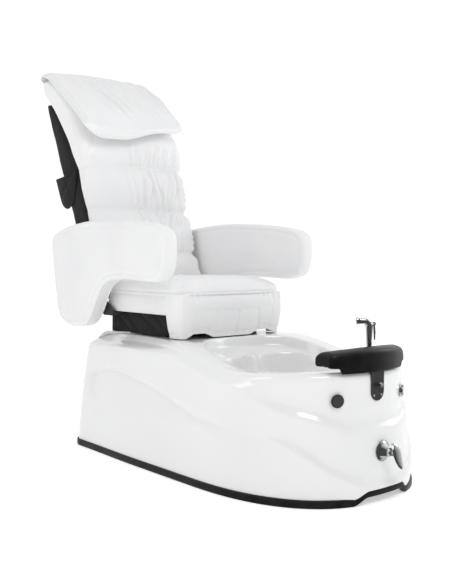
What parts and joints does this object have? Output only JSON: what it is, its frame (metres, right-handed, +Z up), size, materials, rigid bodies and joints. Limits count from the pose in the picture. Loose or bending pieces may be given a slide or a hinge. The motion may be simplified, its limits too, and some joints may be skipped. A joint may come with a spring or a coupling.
{
  "type": "pedicure spa chair",
  "caption": "Foot tub with a height-adjustable footrest, mixer tap, hand sprayer and air buttons, carrying a sliding, reclining massage seat with lift-up armrests.",
  "frame": {"origin": "on the floor under the middle of the whole chair's box", "axes": "+Z up; the sitter faces -Y, towards the foot basin; the sitter's right hand is on -X"},
  "size_m": [0.7124, 1.7599, 1.5578],
  "materials": {
    "acrylic_white": "gloss",
    "vinyl_white": "satin upholstery vinyl",
    "bumper_black": "satin",
    "frame_steel": "powder coat",
    "fixing_steel": "zinc plated",
    "chrome": "polished",
    "brass": "machined",
    "cloth_black": "woven upholstery cloth",
    "pad_black": "moulded foam skin, satin",
    "bracket_grey": "speckled cast finish",
    "motor_black": "matte",
    "pipe_grey": "matte",
    "drain_black": "matte",
    "plywood": "bare",
    "roller_rubber": "matte"
  },
  "bodies": {
    "tub": {"tub_shell": "acrylic_white", "bumper_trim": "bumper_black", "base_frame": "frame_steel", "levelling_feet": "motor_black", "basin_strainer": "chrome", "drain_outlet": "drain_black", "supply_tails": "brass", "jet_pump": "motor_black", "pump_pipework": "pipe_grey", "jet_covers": "chrome", "footrest_bracket": "bracket_grey", "bracket_screws": "fixing_steel", "mixer_escutcheon": "chrome", "button_bezels": "chrome", "sprayer_collar": "chrome", "seat_rails": "fixing_steel"},
    "footrest": {"footrest_post": "bracket_grey", "footrest_pad": "pad_black"},
    "plunger": {"bracket_plunger": "chrome"},
    "mixer": {"mixer_cone": "chrome"},
    "lever": {"mixer_lever": "chrome"},
    "air_button_right": {"button_right": "chrome"},
    "air_button_left": {"button_left": "chrome"},
    "hand_sprayer": {"sprayer": "chrome"},
    "trigger": {"sprayer_trigger": "chrome"},
    "seat": {"slide_runners": "fixing_steel", "seat_base_cover": "cloth_black", "seat_frame": "frame_steel", "seat_pan": "plywood", "seat_cushion": "vinyl_white", "seat_apron": "vinyl_white", "slide_motor": "motor_black"},
    "arm_right": {"arm_frame_right": "frame_steel", "arm_pad_right": "vinyl_white"},
    "arm_left": {"arm_frame_left": "frame_steel", "arm_pad_left": "vinyl_white"},
    "back": {"back_frame": "frame_steel", "rear_shell": "cloth_black", "back_cushion": "vinyl_white", "side_pocket": "cloth_black", "massage_rails": "fixing_steel", "massage_motor": "motor_black"},
    "screw": {"massage_screw": "fixing_steel"},
    "carriage": {"massage_carriage": "motor_black"},
    "roller_right": {"massage_roller_right": "roller_rubber"},
    "roller_left": {"massage_roller_left": "roller_rubber"},
    "flap": {"head_flap": "vinyl_white"}
  },
  "joints": [
    {"name": "footrest_lift", "type": "slide", "parent": "tub", "child": "footrest", "axis": [0, 0, 1], "range_m": [0, 0.1]},
    {"name": "plunger_pull", "type": "slide", "parent": "tub", "child": "plunger", "axis": [0, -1, 0], "range_m": [0, 0.006], "stiffness_N_per_m": 500},
    {"name": "mixer_temperature", "type": "hinge", "parent": "tub", "child": "mixer", "pos_m": [0, -0.806, 0.147], "axis": [0, -1, 0], "range_deg": [-70, 70]},
    {"name": "mixer_flow", "type": "hinge", "parent": "mixer", "child": "lever", "pos_m": [0, -0.839, 0.147], "axis": [-1, 0, 0], "range_deg": [0, 12]},
    {"name": "button_right_press", "type": "slide", "parent": "tub", "child": "air_button_right", "axis": [0.4384, 0.8988, 0], "range_m": [0, 0.003], "stiffness_N_per_m": 800},
    {"name": "button_left_press", "type": "slide", "parent": "tub", "child": "air_button_left", "axis": [-0.4384, 0.8988, 0], "range_m": [0, 0.003], "stiffness_N_per_m": 800},
    {"name": "sprayer_lift", "type": "slide", "parent": "tub", "child": "hand_sprayer", "axis": [0, 0, 1], "range_m": [0, 0.15]},
    {"name": "sprayer_trigger_press", "type": "hinge", "parent": "hand_sprayer", "child": "trigger", "pos_m": [0.06808, -0.71536, 0.521], "axis": [-0.6455, -0.7638, 0], "range_deg": [-4, 0], "stiffness_Nm_per_rad": 0.5},
    {"name": "seat_slide", "type": "slide", "parent": "tub", "child": "seat", "axis": [0, 1, 0], "range_m": [0, 0.1]},
    {"name": "arm_right_lift", "type": "hinge", "parent": "seat", "child": "arm_right", "pos_m": [-0.27, 0.475, 0.64], "axis": [-1, 0, 0], "range_deg": [0, 75]},
    {"name": "arm_left_lift", "type": "hinge", "parent": "seat", "child": "arm_left", "pos_m": [0.27, 0.475, 0.64], "axis": [-1, 0, 0], "range_deg": [0, 75]},
    {"name": "back_recline", "type": "hinge", "parent": "seat", "child": "back", "pos_m": [0, 0.397, 0.585], "axis": [-1, 0, 0], "range_deg": [-6, 24]},
    {"name": "massage_travel", "type": "slide", "parent": "back", "child": "carriage", "axis": [0, 0.3827, 0.9239], "range_m": [0, 0.3]},
    {"name": "massage_screw_spin", "type": "hinge", "parent": "back", "child": "screw", "pos_m": [0, 0.56169, 0.8415], "axis": [0, 0.3827, 0.9239], "range_deg": [-360, 11160]},
    {"name": "roller_right_spin", "type": "hinge", "parent": "carriage", "child": "roller_right", "pos_m": [-0.066, 0.50158, 0.78522], "axis": [1, 0, 0], "continuous": true},
    {"name": "roller_left_spin", "type": "hinge", "parent": "carriage", "child": "roller_left", "pos_m": [0.066, 0.50158, 0.78522], "axis": [1, 0, 0], "continuous": true},
    {"name": "flap_lift", "type": "hinge", "parent": "back", "child": "flap", "pos_m": [0, 0.849, 1.504], "axis": [-1, 0, 0], "range_deg": [0, 100]}
  ],
  "couplings": [
    {"joint": "massage_screw_spin", "follows": "massage_travel", "rad_per_m": 628.32}
  ]
}
